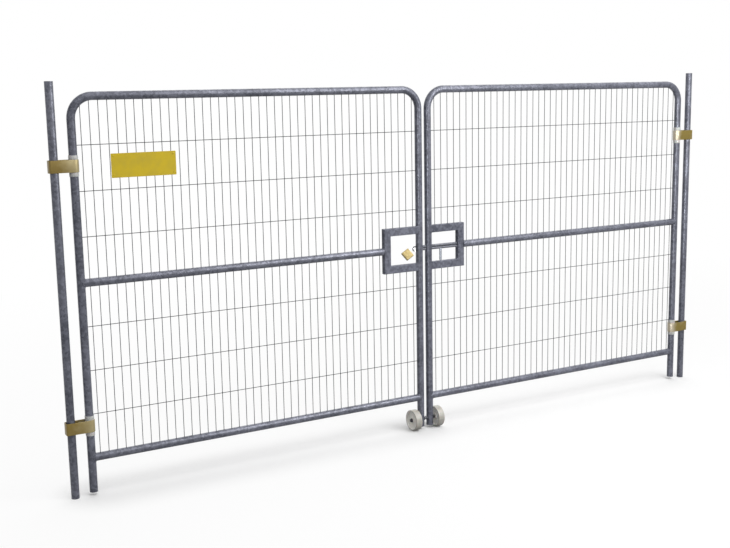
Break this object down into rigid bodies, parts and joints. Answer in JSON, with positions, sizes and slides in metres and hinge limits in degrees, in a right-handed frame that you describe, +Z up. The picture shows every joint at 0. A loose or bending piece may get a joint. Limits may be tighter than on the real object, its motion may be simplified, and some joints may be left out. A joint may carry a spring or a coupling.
{
  "type": "mesh site gate",
  "caption": "Tall two-leaf gate of bent round tube and welded wire mesh, hung by band hinges on plain posts, with rolling meeting legs, a sliding bolt and a padlock.",
  "frame": {"origin": "on the ground, midway between the two leaves and in the plane of their tubes", "axes": "+X along the closed gate to the right as seen from the front, +Y away from the viewer, +Z up"},
  "size_m": [4.3262, 0.125, 2.1],
  "materials": {
    "galvanised_tube": "hot-dip galvanised, dull",
    "galvanised_wire": "hot-dip galvanised, dull",
    "yellow_zinc": "yellow-passivated zinc, satin",
    "bright_zinc": "bright zinc plate, satin",
    "pale_nylon": "moulded, satin",
    "cream_nylon": "moulded, satin",
    "brass": "machined, satin",
    "hardened_steel": "polished plate",
    "sign_yellow": "flat sheet, satin"
  },
  "bodies": {
    "posts": {"left_post": "galvanised_tube", "left_upper_strap": "yellow_zinc", "left_lower_strap": "yellow_zinc", "right_post": "galvanised_tube", "right_upper_strap": "yellow_zinc", "right_lower_strap": "yellow_zinc", "strap_nuts": "bright_zinc", "strap_screws": "bright_zinc"},
    "left_leaf": {"left_frame_hoop": "galvanised_tube", "left_mid_rail": "galvanised_tube", "left_bottom_rail": "galvanised_tube", "left_lock_box": "galvanised_tube", "left_upper_mesh": "galvanised_wire", "left_lower_mesh": "galvanised_wire", "left_upper_bush": "pale_nylon", "left_lower_bush": "pale_nylon", "left_wheel_spacer": "bright_zinc", "left_axle_bolt": "bright_zinc", "left_axle_washers": "bright_zinc", "left_axle_nut": "bright_zinc", "sign_plate": "sign_yellow", "sign_clips": "bright_zinc", "padlock_eye": "galvanised_tube"},
    "right_leaf": {"right_frame_hoop": "galvanised_tube", "right_mid_rail": "galvanised_tube", "right_bottom_rail": "galvanised_tube", "right_lock_box": "galvanised_tube", "right_upper_mesh": "galvanised_wire", "right_lower_mesh": "galvanised_wire", "right_upper_bush": "pale_nylon", "right_lower_bush": "pale_nylon", "right_wheel_spacer": "bright_zinc", "right_axle_bolt": "bright_zinc", "right_axle_washers": "bright_zinc", "right_axle_nut": "bright_zinc"},
    "left_wheel": {"left_wheel": "cream_nylon", "left_wheel_sleeve": "bright_zinc"},
    "right_wheel": {"right_wheel": "cream_nylon", "right_wheel_sleeve": "bright_zinc"},
    "bolt": {"bolt_rods": "bright_zinc", "bolt_handle": "bright_zinc"},
    "padlock_shackle": {"padlock_shackle": "hardened_steel"},
    "padlock_body": {"padlock_body": "brass"},
    "padlock_key_plug": {"padlock_key_plug": "brass"}
  },
  "joints": [
    {"name": "left_leaf_hinge", "type": "hinge", "parent": "posts", "child": "left_leaf", "pos_m": [-2.039, 0, 0], "axis": [0, 0, 1], "range_deg": [-135, 135]},
    {"name": "right_leaf_hinge", "type": "hinge", "parent": "posts", "child": "right_leaf", "pos_m": [2.039, 0, 0], "axis": [0, 0, 1], "range_deg": [-135, 135]},
    {"name": "left_wheel_spin", "type": "hinge", "parent": "left_leaf", "child": "left_wheel", "pos_m": [-0.0803, 0, 0.0625], "axis": [1, 0, 0], "continuous": true},
    {"name": "right_wheel_spin", "type": "hinge", "parent": "right_leaf", "child": "right_wheel", "pos_m": [0.0803, 0, 0.0625], "axis": [1, 0, 0], "continuous": true},
    {"name": "bolt_slide", "type": "slide", "parent": "right_leaf", "child": "bolt", "axis": [1, 0, 0], "range_m": [-0.046, 0.036]},
    {"name": "padlock_swing", "type": "hinge", "parent": "left_leaf", "child": "padlock_shackle", "pos_m": [-0.07, -0.0098, 1.105], "axis": [0, 1, 0], "range_deg": [-50, 60]},
    {"name": "padlock_release", "type": "slide", "parent": "padlock_shackle", "child": "padlock_body", "axis": [-0.866, 0, -0.5], "range_m": [0, 0.006]},
    {"name": "padlock_key_turn", "type": "hinge", "parent": "padlock_body", "child": "padlock_key_plug", "pos_m": [-0.14188, -0.0098, 1.0635], "axis": [0.866, 0, 0.5], "range_deg": [0, 90]}
  ]
}
